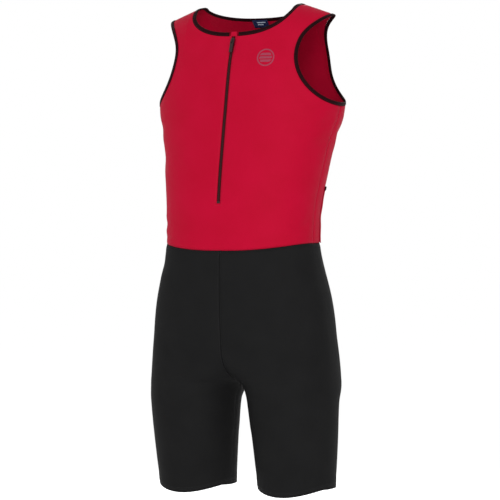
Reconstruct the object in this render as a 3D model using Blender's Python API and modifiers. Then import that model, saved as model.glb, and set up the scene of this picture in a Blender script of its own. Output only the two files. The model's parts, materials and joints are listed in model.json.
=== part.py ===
"""A sleeveless triathlon suit with a short front zip, in its worn, hollow form.

The suit faces -Y and its left side is +X. The origin lies midway between the
two shoulder straps, where the wearer holds it up. Heights on the cloth are
counted as a drop, the distance down from the line along the shoulder seams.
"""
import math

import bmesh
import bpy
from mathutils import Matrix, Vector
from mathutils.bvhtree import BVHTree

MM = 0.001

# Cloth
WALL = 1.5 * MM
SEAM_GAP = 0.3 * MM
SHOULDER_GAP = 0.36 * MM      # front to back, a little more for the tilt of the rims
MIDDLE_Y = 8 * MM             # the plane that the depths in BODY are counted from
RIDGE_BACK = 5 * MM           # the shoulder seams lie this far behind it
NECK_RIDGE_Z = 11 * MM        # height of the shoulder seam at the neck
SHOULDER_SLOPE = 0.35         # fall of the shoulder seam towards the arm
RIDGE_FADE = 190 * MM         # below this drop the shoulder slope is gone
FRONT_ROUND = 62 * MM         # drop over which the front rounds off the shoulder
BACK_ROUND = 92 * MM

# Seam lines, as drops
FRONT_NECK = 60 * MM
BACK_NECK = 24 * MM
UNDERARM = 178 * MM
LOWER_LINE = 336 * MM         # zip end at the front, pocket mouth at the back
WAIST_SIDE = 433 * MM
WAIST_FRONT_DIP = 14 * MM
WAIST_BACK_DIP = -4 * MM
CROTCH = 689 * MM
HEM = 884 * MM
HEM_DIP = 16 * MM             # lower at the front and back of each leg
PINCH_START = 600 * MM

# Armholes and neck, across the front
NECK_X = 108 * MM
STRAP_X = 164 * MM
FRONT_ARMHOLE_X = 122 * MM
BACK_ARMHOLE_X = 118 * MM
ARMHOLE_NARROW = 84 * MM      # drop at which the armhole cuts in furthest

FRONT_SWEEP = 2.0             # 2 for a quarter ellipse, more for a squarer curve
BACK_SWEEP = 2.9

# Legs
FORK = 0.155                  # half gap over leg radius just below the crotch
FORK_SPREAD = 0.27
FORK_ROUND = 38 * MM

# Each row is a level of the worn form, in millimetres. Front, back and side
# are depths from the middle plane, and square is the exponent
# of the rounded outline, 2 for an ellipse.
BODY_COLUMNS = ("drop", "half_width", "front", "back", "side", "square")
BODY = (
    (0, 188, 66, 58, 0, 2.3),
    (60, 188, 75, 88, 0, 2.3),
    (110, 187, 92, 106, -1, 2.3),
    (190, 183, 109, 111, -3, 2.2),
    (250, 166, 120, 101, -14, 2.3),
    (310, 157, 130, 85, -26, 2.3),
    (360, 150, 136, 74, -35, 2.3),
    (406, 148, 135, 69, -40, 2.3),
    (450, 150, 133, 74, -41, 2.3),
    (541, 171, 133, 92, -40, 2.3),
    (617, 181, 128, 98, -38, 2.2),
    (699, 186, 120, 76, -31, 2.1),
    (729, 187, 118, 56, -32, 2.0),
    (800, 183, 108, 54, -27, 2.0),
    (900, 175, 91, 53, -19, 2.0),
)

# Grid of the panels
HALF_COLUMNS = 12
NECK_COLUMNS = 6
ARM_ROWS = 12
TOP_CROWDING = 1.9            # draws the first rows up to the shoulder seam
SIDE_ROWS = 4
LOWER_ROWS = 4
LINE_ROW = ARM_ROWS + SIDE_ROWS
LAST_ROW = LINE_ROW + LOWER_ROWS
HIP_ROWS = 9
LEG_ROWS = 7

NECK_FLARE = 7 * MM           # keeps the neck column clear of the neckline's curve
FLARE_DROP = 10 * MM
NECK_SWEEP = 0.25

# Trimmings
ARM_BINDING = 7 * MM
NECK_BINDING = 8 * MM
BINDING_WALL = 2.1 * MM
BINDING_STAND = 0.35 * MM
SLIT_HALF = 3.5 * MM
TAPE_HALF = 12 * MM
TAPE_WALL = 1.0 * MM
COIL_WALL = 1.7 * MM
COIL_STAND = 0.2 * MM
STOP_LENGTH = 4 * MM
GARAGE_HALF = 6.5 * MM
GARAGE_HEIGHT = 9 * MM
POCKET_COLUMNS = 10
POCKET_WALL = 1.4 * MM
POCKET_BINDING = 8 * MM
POCKET_BINDING_WALL = 2.6 * MM
LABEL_SIZE = (32 * MM, 19 * MM)
LABEL_DROP = -5 * MM          # from the back panel's edge to the label's top
LABEL_X = -6 * MM             # the label is sewn a little to the wearer's right
LABEL_ROW = 4                 # the label hangs along the slope down to this row
LABEL_WALL = 0.8 * MM
BADGE_RADIUS = 17.5 * MM
BADGE_PLACE = (71 * MM, -92 * MM)
BADGE_WALL = 0.6 * MM
BADGE_SIDES = 20
BADGE_RINGS = 3
PRINT_STAND = 0.9 * MM

# Slider and pull tab, across, along the zip and standing off it
SLIDER_DROP = 10 * MM         # below the panel's neck edge
SLIDER_SIZE = (8.4 * MM, 12 * MM, 2.0 * MM)
SLIDER_LIFT = 0.35 * MM
BRIDGE_SIZE = (2.2 * MM, 7.4 * MM, 3.6 * MM)
BRIDGE_HOLE = (4.6 * MM, 2.3 * MM)
TAB_SIZE = (6.8 * MM, 24 * MM, 1.2 * MM)
TAB_HOLE = (3.6 * MM, 4.6 * MM)
TAB_BAR = 0.6 * MM            # from the hinge axis to the tab's top edge
SMALL_BEVEL = 0.4 * MM

COLOURS = {
    "red_knit": ((0.45, 0.006, 0.03, 1), 0.7, 0.0),
    "black_knit": ((0.014, 0.014, 0.015, 1), 0.65, 0.0),
    "binding": ((0.03, 0.006, 0.009, 1), 0.65, 0.0),
    "zip_tape": ((0.09, 0.003, 0.006, 1), 0.7, 0.0),
    "zip_plastic": ((0.05, 0.003, 0.006, 1), 0.35, 0.0),
    "slider_paint": ((0.02, 0.004, 0.005, 1), 0.35, 0.3),
    "reflective_print": ((0.38, 0.06, 0.1, 1), 0.4, 0.2),
    "label_navy": ((0.01, 0.012, 0.03, 1), 0.6, 0.0),
}


def clear_scene():
    for thing in list(bpy.data.objects):
        bpy.data.objects.remove(thing, do_unlink=True)


def material(name):
    colour, roughness, metallic = COLOURS[name]
    made = bpy.data.materials.get(name) or bpy.data.materials.new(name)
    made.use_nodes = True
    shader = made.node_tree.nodes["Principled BSDF"]
    shader.inputs["Base Color"].default_value = colour
    shader.inputs["Roughness"].default_value = roughness
    shader.inputs["Metallic"].default_value = metallic
    return made


def level(column, drop):
    """Reads a column of BODY at a drop, along a smooth curve through its rows."""
    place = BODY_COLUMNS.index(column)
    at = drop / MM
    rows = [(row[0], row[place]) for row in BODY]
    last = len(rows) - 1
    index = 0
    while index < last - 1 and at > rows[index + 1][0]:
        index += 1

    def slope(i):
        low, high = max(i - 1, 0), min(i + 1, last)
        return (rows[high][1] - rows[low][1]) / (rows[high][0] - rows[low][0])

    (x0, y0), (x1, y1) = rows[index], rows[index + 1]
    span = x1 - x0
    u = min(max((at - x0) / span, 0), 1)
    value = (
        (2 * u**3 - 3 * u**2 + 1) * y0
        + (u**3 - 2 * u**2 + u) * span * slope(index)
        + (3 * u**2 - 2 * u**3) * y1
        + (u**3 - u**2) * span * slope(index + 1)
    )
    return value if column == "square" else value * MM


def quarter_round(share):
    """Height of a quarter circle, 0 at its start and 1 from its end on."""
    return math.sqrt(1 - (1 - min(max(share, 0), 1)) ** 2)


def signed_power(value, power):
    return math.copysign(abs(value) ** power, value)


def pinch(drop):
    """Leg centre over leg radius: 0 on one torso, 1 where the legs part."""
    if drop < PINCH_START:
        return 0.0
    if drop < CROTCH:
        return ((drop - PINCH_START) / (CROTCH - PINCH_START)) ** 1.5
    below = drop - CROTCH
    return 1 + quarter_round(below / FORK_ROUND) * (FORK + FORK_SPREAD * below / (HEM - CROTCH))


def half_turn(drop):
    """Angle from the side of the form round to its middle."""
    share = min(pinch(drop), 1)
    return math.acos(-(share ** (level("square", drop) / 2)))


def ridge(x):
    return NECK_RIDGE_Z - SHOULDER_SLOPE * max(abs(x) - NECK_X, 0)


def body_point(turn, drop):
    """A point on the left half: turn is -1 at the front, 0 at the side, 1 at the back."""
    angle = turn * half_turn(drop)
    power = 2 / level("square", drop)
    share = pinch(drop)
    radius = level("half_width", drop) / (1 + share)
    x = radius * (share + signed_power(math.cos(angle), power))
    front = level("front", drop) * quarter_round(drop / FRONT_ROUND)
    back = level("back", drop) * quarter_round(drop / BACK_ROUND)
    side = level("side", drop)
    reach = side + front if turn < 0 else back - side
    y = MIDDLE_Y + side + reach * signed_power(math.sin(angle), power)
    y += RIDGE_BACK * (1 - quarter_round(drop / FRONT_ROUND))
    fade = 1 - min(drop / RIDGE_FADE, 1) ** 2
    return Vector((x, y, ridge(x) * fade - drop))


def turn_at(x, drop):
    """How far round from the side the form has this x, on the torso."""
    share = min(abs(x) / level("half_width", drop), 1)
    return math.acos(share ** (level("square", drop) / 2)) / half_turn(drop)


def waist(turn):
    dip = WAIST_FRONT_DIP if turn < 0 else WAIST_BACK_DIP
    return WAIST_SIDE + dip * math.sin(turn * math.pi / 2) ** 2


def row_share(row):
    """Share of the way from the top edge to the waist, close together at the curves."""
    under = UNDERARM / WAIST_SIDE
    line = LOWER_LINE / WAIST_SIDE
    if row <= ARM_ROWS:
        return under * (0.5 - 0.5 * math.cos(math.pi * row / ARM_ROWS)) ** TOP_CROWDING
    if row <= LINE_ROW:
        return under + (line - under) * (row - ARM_ROWS) / SIDE_ROWS
    return line + (1 - line) * (row - LINE_ROW) / LOWER_ROWS


def edge_turn(face, drop):
    """The armhole edge above the underarm and the side seam below it."""
    if drop >= UNDERARM:
        return 0.0
    narrow = turn_at(FRONT_ARMHOLE_X if face < 0 else BACK_ARMHOLE_X, ARMHOLE_NARROW)
    sweep = FRONT_SWEEP if face < 0 else BACK_SWEEP
    if drop < ARMHOLE_NARROW:
        strap = turn_at(STRAP_X, 0)
        return narrow + (strap - narrow) * (1 - drop / ARMHOLE_NARROW) ** sweep
    below = (drop - ARMHOLE_NARROW) / (UNDERARM - ARMHOLE_NARROW)
    return narrow * math.sqrt(1 - below**sweep)


def neck_turn(drop):
    """The column that starts at the neck end of the shoulder seam."""
    flare = NECK_FLARE * quarter_round(drop / FLARE_DROP)
    return turn_at(NECK_X + flare - NECK_SWEEP * drop, drop)


def panel_point(face, row, column):
    """A point of the front (face -1) or back (face 1) panel's left half."""
    share = row_share(row)
    top_weight = (1 - share) ** 2
    edge = edge_turn(face, share * WAIST_SIDE)
    neck_share = (1 - neck_turn(share * WAIST_SIDE)) / (1 - edge)
    neck_share = 0.5 + (neck_share - 0.5) * top_weight
    within = min(column / NECK_COLUMNS, 1)
    curved = math.sin(within * math.pi / 2)
    across = neck_share * (within + (curved - within) * top_weight)
    if column > NECK_COLUMNS:
        beyond = (column - NECK_COLUMNS) / (HALF_COLUMNS - NECK_COLUMNS)
        across = neck_share + (1 - neck_share) * beyond
    neck = (FRONT_NECK if face < 0 else BACK_NECK) * math.cos(within * math.pi / 2)
    guess = 1 + (edge - 1) * across
    drop = neck + (waist(face * guess) - neck) * share
    middle = turn_at(SLIT_HALF, drop) if face < 0 else 1.0
    turn = middle + (edge - middle) * across
    point = body_point(face * turn, drop)
    point.y += face * SHOULDER_GAP / 2
    return point


def mirrored(point):
    return Vector((-point.x, point.y, point.z))


def panel_grid(face):
    """Rows of points, counter-clockwise seen from above."""
    rows = []
    for row in range(LAST_ROW + 1):
        left = [panel_point(face, row, column) for column in range(HALF_COLUMNS + 1)]
        right = [mirrored(point) for point in left]
        if face < 0:
            rows.append(right[::-1] + left)
        else:
            rows.append(left[::-1] + right[1:])
    return rows


def shorts_grid():
    """The left leg and hip, from the front middle round the side to the back."""
    drops = [math.sin(math.pi / 2 * row / HIP_ROWS) for row in range(HIP_ROWS + 1)]
    rows = []
    columns = range(-HALF_COLUMNS, HALF_COLUMNS + 1)
    for share in drops:
        points = []
        for column in columns:
            turn = column / HALF_COLUMNS
            top = waist(turn) + SEAM_GAP
            drop = top + (CROTCH - top) * share
            points.append(body_point(turn, drop))
        rows.append(points)
    for row in range(1, LEG_ROWS + 1):
        share = 1 - math.cos(math.pi / 2 * row / LEG_ROWS)
        points = []
        for column in columns:
            turn = column / HALF_COLUMNS
            low = HEM + HEM_DIP * math.sin(turn * math.pi) ** 2
            points.append(body_point(turn, CROTCH + (low - CROTCH) * share))
        rows.append(points)
    return [[point + Vector((SEAM_GAP / 2, 0, 0)) for point in row] for row in rows]


def grid_faces(row_count, column_count, skip=lambda row, column: False):
    faces = []
    for i in range(row_count - 1):
        for j in range(column_count - 1):
            if skip(i, j):
                continue
            here, below = i * column_count + j, (i + 1) * column_count + j
            faces.append((here, below, below + 1, here + 1))
    return faces


def grid_normals(rows):
    """Outward direction at each point, as the panel's own mesh has it."""
    columns = len(rows[0])
    mesh = bpy.data.meshes.new("normals")
    points = [tuple(point) for row in rows for point in row]
    mesh.from_pydata(points, [], grid_faces(len(rows), columns))
    found = [vertex.normal.copy() for vertex in mesh.vertices]
    bpy.data.meshes.remove(mesh)
    return [found[start:start + columns] for start in range(0, len(found), columns)]


def add_object(name, mesh, material_name):
    mesh.materials.append(material(material_name))
    made = bpy.data.objects.new(name, mesh)
    SUIT.objects.link(made)
    return made


def cloth(name, points, faces, wall, material_name, outward=None):
    """A sheet with a wall of the given thickness behind its outer side."""
    mesh = bpy.data.meshes.new(name)
    mesh.from_pydata([tuple(point) for point in points], [], faces)
    shape = bmesh.new()
    shape.from_mesh(mesh)
    bmesh.ops.remove_doubles(shape, verts=shape.verts, dist=1e-6)
    shape.faces.ensure_lookup_table()
    shape.normal_update()
    if outward is not None and shape.faces[0].normal.dot(outward) < 0:
        bmesh.ops.reverse_faces(shape, faces=shape.faces)
    shape.to_mesh(mesh)
    shape.free()
    mesh.shade_smooth()
    made = add_object(name, mesh, material_name)
    thick = made.modifiers.new("wall", "SOLIDIFY")
    thick.thickness = wall
    thick.offset = -1
    return made


def strip(name, first, second, wall, material_name, outward, closed=False):
    """A band between two lines of points."""
    lines = [list(first), list(second)]
    if closed:
        lines = [line + line[:1] for line in lines]
    count = len(lines[0])
    return cloth(name, lines[0] + lines[1], grid_faces(2, count), wall, material_name, outward)


def edge_band(path, normals, closed, into, start, end, stand):
    """Two lines beside an edge: into is 1 or -1, the side of it they lie on."""
    count = len(path)
    first, second = [], []
    for i, point in enumerate(path):
        before = path[(i - 1) % count] if closed else path[max(i - 1, 0)]
        after = path[(i + 1) % count] if closed else path[min(i + 1, count - 1)]
        away = (after - before).cross(normals[i]).normalized() * into
        raised = point + normals[i] * stand
        first.append(raised + away * start)
        second.append(raised + away * end)
    return first, second


def armhole_path(front, back):
    """Left armhole, from the underarm up the front and down the back."""
    points, normals = [], []
    front_normals, back_normals = grid_normals(front), grid_normals(back)
    for row in range(ARM_ROWS, -1, -1):
        points.append(front[row][-1])
        normals.append(front_normals[row][-1])
    for row in range(ARM_ROWS + 1):
        points.append(back[row][0])
        normals.append(back_normals[row][0])
    top = ARM_ROWS
    points[top] = (points[top] + points[top + 1]) / 2
    normals[top] = (normals[top] + normals[top + 1]).normalized()
    points[0] = (points[0] + points[-1]) / 2
    normals[0] = (normals[0] + normals[-1]).normalized()
    kept = [i for i in range(len(points) - 1) if i != top + 1]
    return [points[i] for i in kept], [normals[i] for i in kept]


def neck_path(front, back):
    """From the left of the zip round the back of the neck to its right."""
    front_normals, back_normals = grid_normals(front)[0], grid_normals(back)[0]
    middle = HALF_COLUMNS + 1
    left = [(front[0][middle + i], front_normals[middle + i]) for i in range(NECK_COLUMNS + 1)]
    start, after = left[0], left[1]
    share = (GARAGE_HALF + 2 * SEAM_GAP - start[0].x) / (after[0].x - start[0].x)
    left[0] = (start[0].lerp(after[0], share), start[1].lerp(after[1], share).normalized())
    centre = HALF_COLUMNS
    rear = [(back[0][centre - i], back_normals[centre - i]) for i in range(NECK_COLUMNS, 0, -1)]
    corner = left.pop()
    seam_point = (corner[0] + rear[0][0]) / 2
    seam_normal = (corner[1] + rear[0][1]).normalized()
    half = left + [(seam_point, seam_normal)] + rear[1:]
    whole = half + [(back[0][centre], back_normals[centre])]
    whole += [(mirrored(point), mirrored(normal)) for point, normal in reversed(half)]
    return [pair[0] for pair in whole], [pair[1] for pair in whole]


def make_panels(front, back):
    columns = len(front[0])
    middle = HALF_COLUMNS

    def in_slit(row, column):
        return column == middle and row < LINE_ROW

    points = [point for row in front for point in row]
    cloth("front", points, grid_faces(len(front), columns, in_slit), WALL, "red_knit")
    points = [point for row in back for point in row]
    cloth("back", points, grid_faces(len(back), len(back[0])), WALL, "red_knit")


def make_shorts(leg):
    points = [point for row in leg for point in row]
    faces = grid_faces(len(leg), len(leg[0]))
    outward = Vector((0, -1, 0))
    cloth("shorts_left", points, faces, WALL, "black_knit", outward)
    points = [mirrored(point) for point in points]
    cloth("shorts_right", points, faces, WALL, "black_knit", outward)


def make_bindings(front, back):
    path, normals = armhole_path(front, back)
    first, second = edge_band(path, normals, True, 1, 2 * SEAM_GAP, ARM_BINDING, BINDING_STAND)
    strip("armhole_binding_left", first, second, BINDING_WALL, "binding", normals[0], True)
    first, second = [[mirrored(point) for point in line] for line in (first, second)]
    outward = mirrored(normals[0])
    strip("armhole_binding_right", first, second, BINDING_WALL, "binding", outward, True)
    path, normals = neck_path(front, back)
    first, second = edge_band(path, normals, True, -1, 2 * SEAM_GAP, NECK_BINDING, BINDING_STAND)
    strip("neck_binding", first, second, BINDING_WALL, "binding", normals[0])


def zip_line(front):
    """Middle of the zip and its outward direction, from the neck edge down."""
    normals = grid_normals(front)
    left = HALF_COLUMNS + 1
    line = []
    for row in range(LINE_ROW + 1):
        point = front[row][left].copy()
        outward = normals[row][left].copy()
        point.x = 0
        outward.x = 0
        line.append((point, outward.normalized()))
    return line


def zip_strip(name, line, half, top, wall, material_name):
    """A strip along the zip whose outer side stands top above the panel's."""
    sides = []
    for side in (-half, half):
        sides.append([point + outward * top + Vector((side, 0, 0)) for point, outward in line])
    strip(name, sides[0], sides[1], wall, material_name, line[0][1])


def make_zip(front):
    line = zip_line(front)
    zip_strip("zip_tape", line, TAPE_HALF, -WALL - 3 * SEAM_GAP, TAPE_WALL, "zip_tape")
    down = (line[-1][0] - line[-2][0]).normalized()
    end_gap = down * SEAM_GAP
    stop_top = line[-1][0] - down * (STOP_LENGTH + SEAM_GAP)
    coil = line[:-1] + [(stop_top - end_gap, line[-1][1])]
    half = SLIT_HALF - SEAM_GAP
    zip_strip("zip_coil", coil, half, COIL_STAND, COIL_WALL, "zip_plastic")
    stop = [(stop_top, line[-1][1]), (line[-1][0] - end_gap, line[-1][1])]
    zip_strip("zip_stop", stop, half, 3 * COIL_STAND, COIL_WALL + 2 * COIL_STAND, "zip_plastic")
    up = (line[0][0] - line[1][0]).normalized()
    foot = line[0][0] + up * SEAM_GAP
    garage = [(foot + up * GARAGE_HEIGHT, line[0][1]), (foot, line[0][1])]
    zip_strip("zip_garage", garage, GARAGE_HALF, BINDING_STAND, BINDING_WALL, "red_knit")
    return line


def box(name, size, centre, material_name):
    mesh = bpy.data.meshes.new(name)
    shape = bmesh.new()
    bmesh.ops.create_cube(shape, size=1, matrix=Matrix.Diagonal((*size, 1)))
    bmesh.ops.translate(shape, verts=shape.verts, vec=centre)
    shape.to_mesh(mesh)
    shape.free()
    return add_object(name, mesh, material_name)


def soften(made, width):
    bevel = made.modifiers.new("soft_edges", "BEVEL")
    bevel.width = width
    bevel.segments = 2
    bevel.limit_method = "ANGLE"


def combine(made, other, operation):
    SUIT.objects.unlink(other)
    TOOLS.objects.link(other)
    other.hide_render = True
    other.display_type = "WIRE"
    other.parent = made
    step = made.modifiers.new(operation.lower(), "BOOLEAN")
    step.object = other
    step.operation = operation
    step.solver = "EXACT"


def make_slider(line):
    """Slider and pull tab in the zip's own frame: -Z runs down it and -Y stands off it."""
    distance = 0.0
    index = 0
    while distance < SLIDER_DROP:
        distance += (line[index + 1][0] - line[index][0]).length
        index += 1
    excess = (distance - SLIDER_DROP) / (line[index][0] - line[index - 1][0]).length
    middle = line[index][0].lerp(line[index - 1][0], excess)
    down = (line[index][0] - line[index - 1][0]).normalized()
    lean = -math.atan2(-down.y, -down.z)
    across, along, deep = SLIDER_SIZE
    hole_long, hole_deep = BRIDGE_HOLE
    foot = COIL_STAND + SLIDER_LIFT
    axis_height = foot + deep + hole_deep / 2
    outward = Vector((0, -math.cos(lean), -math.sin(lean)))
    place = middle + outward * axis_height
    turned = (lean, 0, 0)
    plate = box("zip_slider", (across, deep, along), (0, deep / 2 + hole_deep / 2, 0), "slider_paint")
    bridge_across, bridge_long, bridge_high = BRIDGE_SIZE
    sunk = SMALL_BEVEL
    bridge_middle = hole_deep / 2 - bridge_high / 2 + sunk / 2
    bridge = box(
        "slider_bridge", (bridge_across, bridge_high + sunk, bridge_long), (0, bridge_middle, 0), "slider_paint"
    )
    hole = box("slider_hole", (2 * bridge_across, hole_deep, hole_long), (0, 0, 0), "slider_paint")
    combine(plate, bridge, "UNION")
    combine(plate, hole, "DIFFERENCE")
    soften(plate, SMALL_BEVEL / 2)
    plate.location = place
    plate.rotation_euler = turned
    tab_across, tab_long, tab_deep = TAB_SIZE
    hole_across, hole_length = TAB_HOLE
    tab = box("zip_pull_tab", (tab_across, tab_deep, tab_long), (0, 0, TAB_BAR - tab_long / 2), "slider_paint")
    eye = box(
        "tab_eye", (hole_across, 2 * tab_deep, hole_length), (0, 0, -TAB_BAR - hole_length / 2), "slider_paint"
    )
    combine(tab, eye, "DIFFERENCE")
    soften(tab, SMALL_BEVEL / 2)
    tab.location = place
    tab.rotation_euler = turned


def make_pocket(back):
    normals = grid_normals(back)
    columns = range(HALF_COLUMNS - POCKET_COLUMNS, HALF_COLUMNS + POCKET_COLUMNS + 1)
    rows = range(LINE_ROW, LAST_ROW + 1)
    stand = SEAM_GAP + POCKET_WALL
    points = [back[i][j] + normals[i][j] * stand for i in rows for j in columns]
    faces = grid_faces(len(rows), len(columns))
    cloth("back_pocket", points, faces, POCKET_WALL, "red_knit")
    mouth = [back[LINE_ROW][j] for j in columns]
    outward = [normals[LINE_ROW][j] for j in columns]
    stand = SEAM_GAP + POCKET_BINDING_WALL
    first, second = edge_band(mouth, outward, False, -1, SEAM_GAP, POCKET_BINDING, stand)
    strip("pocket_binding", first, second, POCKET_BINDING_WALL, "binding", outward[0])


def surface_of(rows):
    points = [point for row in rows for point in row]
    return BVHTree.FromPolygons(points, grid_faces(len(rows), len(rows[0])))


def laid_on(surface, points, outward, stand):
    """Points moved along one direction until they stand a little off the cloth."""
    reach = outward * 0.05
    found = []
    for point in points:
        hit = surface.ray_cast(point + reach, -outward)[0]
        found.append(hit + outward * stand)
    return found


def make_badge(front):
    """A round print, in rings about its centre, on the left chest."""
    surface = surface_of(front)
    x, z = BADGE_PLACE
    centre, outward = surface.ray_cast(Vector((x, -1, z)), Vector((0, 1, 0)))[:2]
    if outward.y > 0:
        outward = -outward
    across = Vector((0, 0, 1)).cross(outward).normalized()
    upward = outward.cross(across)
    flat = [centre]
    for ring in range(1, BADGE_RINGS + 1):
        for side in range(BADGE_SIDES):
            angle = 2 * math.pi * side / BADGE_SIDES
            reach = across * math.cos(angle) + upward * math.sin(angle)
            flat.append(centre + reach * BADGE_RADIUS * ring / BADGE_RINGS)
    points = laid_on(surface, flat, outward, PRINT_STAND + BADGE_WALL)
    faces = []
    for side in range(BADGE_SIDES):
        after = (side + 1) % BADGE_SIDES
        faces.append((0, 1 + side, 1 + after))
        for ring in range(1, BADGE_RINGS):
            inner = 1 + (ring - 1) * BADGE_SIDES
            outer = inner + BADGE_SIDES
            faces.append((inner + side, outer + side, outer + after, inner + after))
    cloth("chest_badge", points, faces, BADGE_WALL, "reflective_print", outward)


def make_label(back):
    """A small woven label that hangs inside the back neck, from the binding."""
    surface = surface_of(back)
    width, height = LABEL_SIZE
    edge = back[0][HALF_COLUMNS]
    lower = back[LABEL_ROW][HALF_COLUMNS]
    down = (lower - edge).normalized()
    outward = down.cross(Vector((-1, 0, 0))).normalized()
    steps = range(5)
    flat = []
    for j in steps:
        x = LABEL_X + width * (j / (len(steps) - 1) - 0.5)
        flat.append(edge + down * height / 2 + Vector((x, 0, 0)))
    stand = -WALL - PRINT_STAND - SEAM_GAP
    line = laid_on(surface, flat, outward, stand)
    points = []
    for i in range(3):
        along = LABEL_DROP - height / 2 + height * i / 2
        points += [point + down * along for point in line]
    cloth("neck_label", points, grid_faces(3, len(steps)), LABEL_WALL, "label_navy", outward)


def make_suit():
    front, back, leg = panel_grid(-1), panel_grid(1), shorts_grid()
    make_panels(front, back)
    make_shorts(leg)
    make_bindings(front, back)
    make_slider(make_zip(front))
    make_pocket(back)
    make_badge(front)
    make_label(back)


clear_scene()
SUIT = bpy.data.collections.new("triathlon_suit")
TOOLS = bpy.data.collections.new("cutters")
bpy.context.scene.collection.children.link(SUIT)
bpy.context.scene.collection.children.link(TOOLS)
make_suit()
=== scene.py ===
# %% [markdown]
# # A triathlon suit, filled out as when it is worn
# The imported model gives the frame: plain cloth walls at their real size. This lesson
# replaces each of them with fine cloth, stitching and a zip, in the same places.

# %% Load the frame
import bisect
import json
import math

import bmesh
import bpy
import numpy as np
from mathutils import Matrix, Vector
from mathutils.bvhtree import BVHTree

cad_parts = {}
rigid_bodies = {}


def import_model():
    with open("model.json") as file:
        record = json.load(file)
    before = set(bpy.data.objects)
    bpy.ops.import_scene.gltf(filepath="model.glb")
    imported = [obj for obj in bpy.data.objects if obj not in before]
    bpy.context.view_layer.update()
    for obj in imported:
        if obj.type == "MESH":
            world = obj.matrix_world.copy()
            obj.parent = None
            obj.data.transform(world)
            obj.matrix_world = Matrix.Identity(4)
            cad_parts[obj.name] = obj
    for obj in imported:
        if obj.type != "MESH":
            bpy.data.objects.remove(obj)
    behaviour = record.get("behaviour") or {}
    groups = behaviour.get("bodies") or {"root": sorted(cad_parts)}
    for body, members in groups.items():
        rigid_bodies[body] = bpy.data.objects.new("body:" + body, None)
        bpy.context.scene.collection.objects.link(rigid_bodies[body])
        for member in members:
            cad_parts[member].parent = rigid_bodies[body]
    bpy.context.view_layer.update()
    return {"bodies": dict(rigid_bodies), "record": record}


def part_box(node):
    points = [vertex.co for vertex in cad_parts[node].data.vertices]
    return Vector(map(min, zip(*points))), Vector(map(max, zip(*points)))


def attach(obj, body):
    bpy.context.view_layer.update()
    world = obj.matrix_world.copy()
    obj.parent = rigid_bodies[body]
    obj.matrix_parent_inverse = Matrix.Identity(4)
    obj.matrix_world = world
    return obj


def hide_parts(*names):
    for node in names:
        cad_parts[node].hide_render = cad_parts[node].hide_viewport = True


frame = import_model()
TAB_BODY = "pull_tab"
SUIT_BODY = next(name for name in frame["bodies"] if name != TAB_BODY)
MM = 0.001

# %% [markdown]
# ## Camera
# A long lens a few metres away flattens the view, which suits clothing. The camera
# stands to the wearer's left, a little above the waist seam, and looks at the middle of
# the suit.

# %% Camera
VIEW_TURN = math.radians(27)
VIEW_DISTANCE = 4.5           # metres
EYE_Z = -0.391
AIM_Z = -0.447
FRAME_WIDTH = 0.94            # the width of the view at the suit
SENSOR = 36.0


def aimed(name, data, place, target):
    """Adds a camera or a lamp at a place, turned to face a target."""
    made = bpy.data.objects.new(name, data)
    bpy.context.scene.collection.objects.link(made)
    made.location = place
    towards = Vector(target) - made.location
    made.rotation_euler = towards.to_track_quat("-Z", "Y").to_euler()
    return made


camera_data = bpy.data.cameras.new("camera")
camera_data.sensor_width = SENSOR
camera_data.lens = SENSOR * VIEW_DISTANCE / FRAME_WIDTH
eye_x, eye_y = math.sin(VIEW_TURN) * VIEW_DISTANCE, -math.cos(VIEW_TURN) * VIEW_DISTANCE
bpy.context.scene.camera = aimed("camera", camera_data, (eye_x, eye_y, EYE_Z), (0, 0, AIM_Z))
print("lens", round(camera_data.lens, 1), "mm")

# %% [markdown]
# ## Light and floor
# Smooth knit shows its form through broad, soft light. An even white world gives most of
# it. A large panel beside the camera, and a second one behind the suit, make the middle of
# the form brighter than its edges. The plain view transform keeps the strong red of the
# cloth, which a filmic one would wash out. The floor lies where the wearer's feet would be.

# %% Light and floor
FLOOR_Z = -1.32
FLOOR_SIZE = 60
WHITE = (1, 1, 1, 1)
LIGHT_AIM = (0, 0, -0.42)
LIGHTS = (                    # name, place, size in metres, power in watts
    ("key", (1.7, -3.6, 0.5), (1.4, 1.8), 84),
    ("rear_key", (-1.4, 3.8, 0.6), (1.6, 1.8), 60),
)

for name, place, size, power in LIGHTS:
    data = bpy.data.lights.new(name, "AREA")
    data.shape = "RECTANGLE"
    data.size, data.size_y = size
    data.energy = power
    aimed(name, data, place, LIGHT_AIM)
bpy.context.scene.view_settings.view_transform = "Standard"

world = bpy.data.worlds.new("studio")
bpy.context.scene.world = world
world.use_nodes = True
background = world.node_tree.nodes["Background"]
background.inputs["Color"].default_value = WHITE
background.inputs["Strength"].default_value = 1.0

bpy.ops.object.select_all(action="DESELECT")
bpy.ops.mesh.primitive_plane_add(size=FLOOR_SIZE, location=(0, 0, FLOOR_Z))
floor = bpy.context.object
floor.name = "floor"
floor_paint = bpy.data.materials.new("floor_paint")
floor_paint.use_nodes = True
floor_shader = floor_paint.node_tree.nodes["Principled BSDF"]
floor_shader.inputs["Base Color"].default_value = WHITE
floor_shader.inputs["Roughness"].default_value = 1.0
floor_shader.inputs["Specular IOR Level"].default_value = 0.0
floor.data.materials.append(floor_paint)
print("lights", len(LIGHTS), "floor at", FLOOR_Z)

# %% [markdown]
# ## Knit, woven and moulded finishes
# Warp knit is rows of tiny loops. Two crossed wave patterns on the cloth's own UV map,
# which is laid out in metres, give their height, and soft noise shifts the colour a
# little, as dye takes unevenly. Stretch fabric also has a weak sheen at its edges, set
# on the shader's own socket.

# %% Cloth material
CLOTH_MOTTLE = 18.0           # patches of one shade in a metre of cloth, roughly
HARD_MOTTLE = 400.0
PEEL = 1500.0
COURSE_RATIO = 1.4            # rows of loops for each column of loops
LOOP_RELIEF = 0.15 * MM
PEEL_RELIEF, PEEL_STRENGTH = 0.1 * MM, 0.2


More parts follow.
